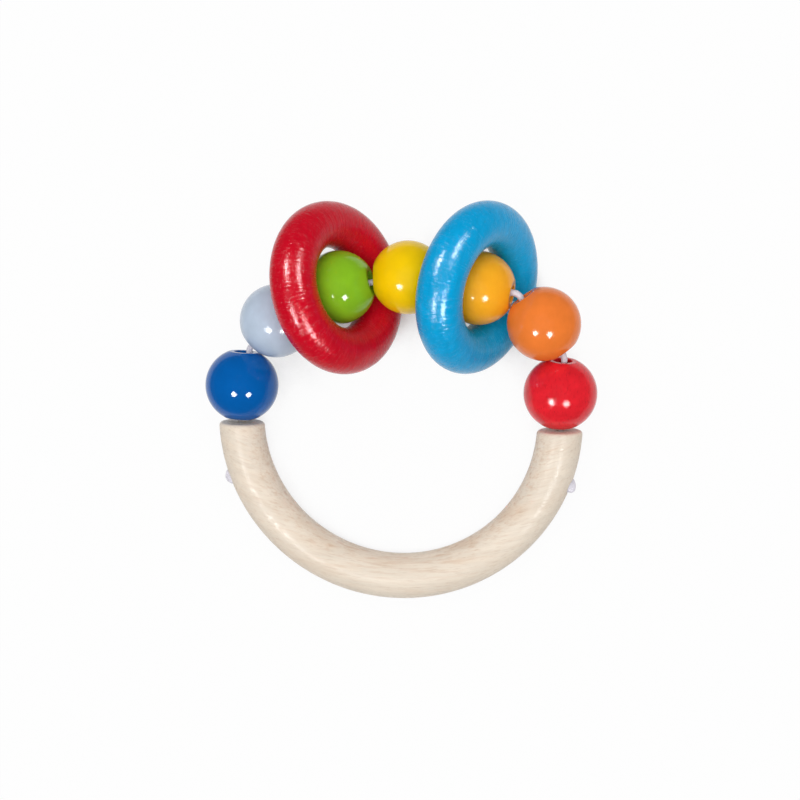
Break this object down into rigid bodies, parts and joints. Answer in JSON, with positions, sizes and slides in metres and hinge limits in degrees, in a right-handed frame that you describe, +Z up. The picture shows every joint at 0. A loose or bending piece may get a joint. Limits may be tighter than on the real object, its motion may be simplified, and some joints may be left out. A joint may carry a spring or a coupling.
{
  "type": "bead rattle",
  "caption": "Wooden baby rattle: a half-ring beech handle closed by an elastic string of lacquered beads in rainbow colours, with loose wooden rings that click when it is shaken.",
  "frame": {"origin": "on the table, under the middle of the toy as it lies", "axes": "+Z up from the table; the bow of the handle points to -Y and the bead string to +Y; +X runs from the blue end bead to the red one"},
  "size_m": [0.107, 0.1084, 0.0435],
  "materials": {
    "bare_beech": "sanded and lightly oiled",
    "blue_lacquer": "gloss lacquer",
    "light_blue_lacquer": "gloss lacquer",
    "green_lacquer": "gloss lacquer",
    "yellow_lacquer": "gloss lacquer",
    "amber_lacquer": "gloss lacquer",
    "orange_lacquer": "gloss lacquer",
    "red_lacquer": "gloss lacquer",
    "red_ring_stain": "gloss stain over the grain",
    "blue_ring_stain": "gloss stain over the grain",
    "elastic": "woven textile sleeve"
  },
  "bodies": {
    "handle": {"handle": "bare_beech", "left_knot": "elastic", "right_knot": "elastic"},
    "string": {"bead_cord": "elastic"},
    "blue_bead": {"blue_bead": "blue_lacquer"},
    "light_blue_bead": {"light_blue_bead": "light_blue_lacquer"},
    "green_bead": {"green_bead": "green_lacquer"},
    "yellow_bead": {"yellow_bead": "yellow_lacquer"},
    "amber_bead": {"amber_bead": "amber_lacquer"},
    "orange_bead": {"orange_bead": "orange_lacquer"},
    "red_bead": {"red_bead": "red_lacquer"},
    "red_ring": {"red_ring": "red_ring_stain"},
    "blue_ring": {"blue_ring": "blue_ring_stain"}
  },
  "joints": [
    {"name": "string_swing", "type": "hinge", "parent": "handle", "child": "string", "pos_m": [0, 0.00304, 0.01492], "axis": [1, 0, 0], "range_deg": [-60, 60], "stiffness_Nm_per_rad": 0.1},
    {"name": "blue_bead_spin", "type": "hinge", "parent": "string", "child": "blue_bead", "pos_m": [-0.0435, 0.00304, 0.01492], "axis": [0.0515, 0.9896, 0.1339], "continuous": true},
    {"name": "light_blue_bead_spin", "type": "hinge", "parent": "string", "child": "light_blue_bead", "pos_m": [-0.03416, 0.02072, 0.01703], "axis": [0.7379, 0.663, 0.1262], "continuous": true},
    {"name": "green_bead_spin", "type": "hinge", "parent": "string", "child": "green_bead", "pos_m": [-0.01694, 0.03009, 0.02014], "axis": [0.9651, 0.2272, 0.1302], "continuous": true},
    {"name": "yellow_bead_spin", "type": "hinge", "parent": "string", "child": "yellow_bead", "pos_m": [0.00203, 0.03315, 0.02148], "axis": [0.9991, 0.0424, -0.0092], "continuous": true},
    {"name": "amber_bead_spin", "type": "hinge", "parent": "string", "child": "amber_bead", "pos_m": [0.02122, 0.03076, 0.02102], "axis": [0.9837, -0.1657, 0.0696], "continuous": true},
    {"name": "orange_bead_spin", "type": "hinge", "parent": "string", "child": "orange_bead", "pos_m": [0.03903, 0.02149, 0.02137], "axis": [0.5958, -0.7801, -0.1909], "continuous": true},
    {"name": "red_bead_spin", "type": "hinge", "parent": "string", "child": "red_bead", "pos_m": [0.0435, 0.00304, 0.01492], "axis": [-0.059, -0.9658, -0.2527], "continuous": true},
    {"name": "red_ring_tilt", "type": "hinge", "parent": "string", "child": "red_ring", "pos_m": [-0.01694, 0.03009, 0.02014], "axis": [-0.2079, 0.9781, 0], "range_deg": [0, 55]},
    {"name": "blue_ring_tilt", "type": "hinge", "parent": "string", "child": "blue_ring", "pos_m": [0.02122, 0.03076, 0.02102], "axis": [0.2334, 0.9724, 0], "range_deg": [0, 55]}
  ]
}
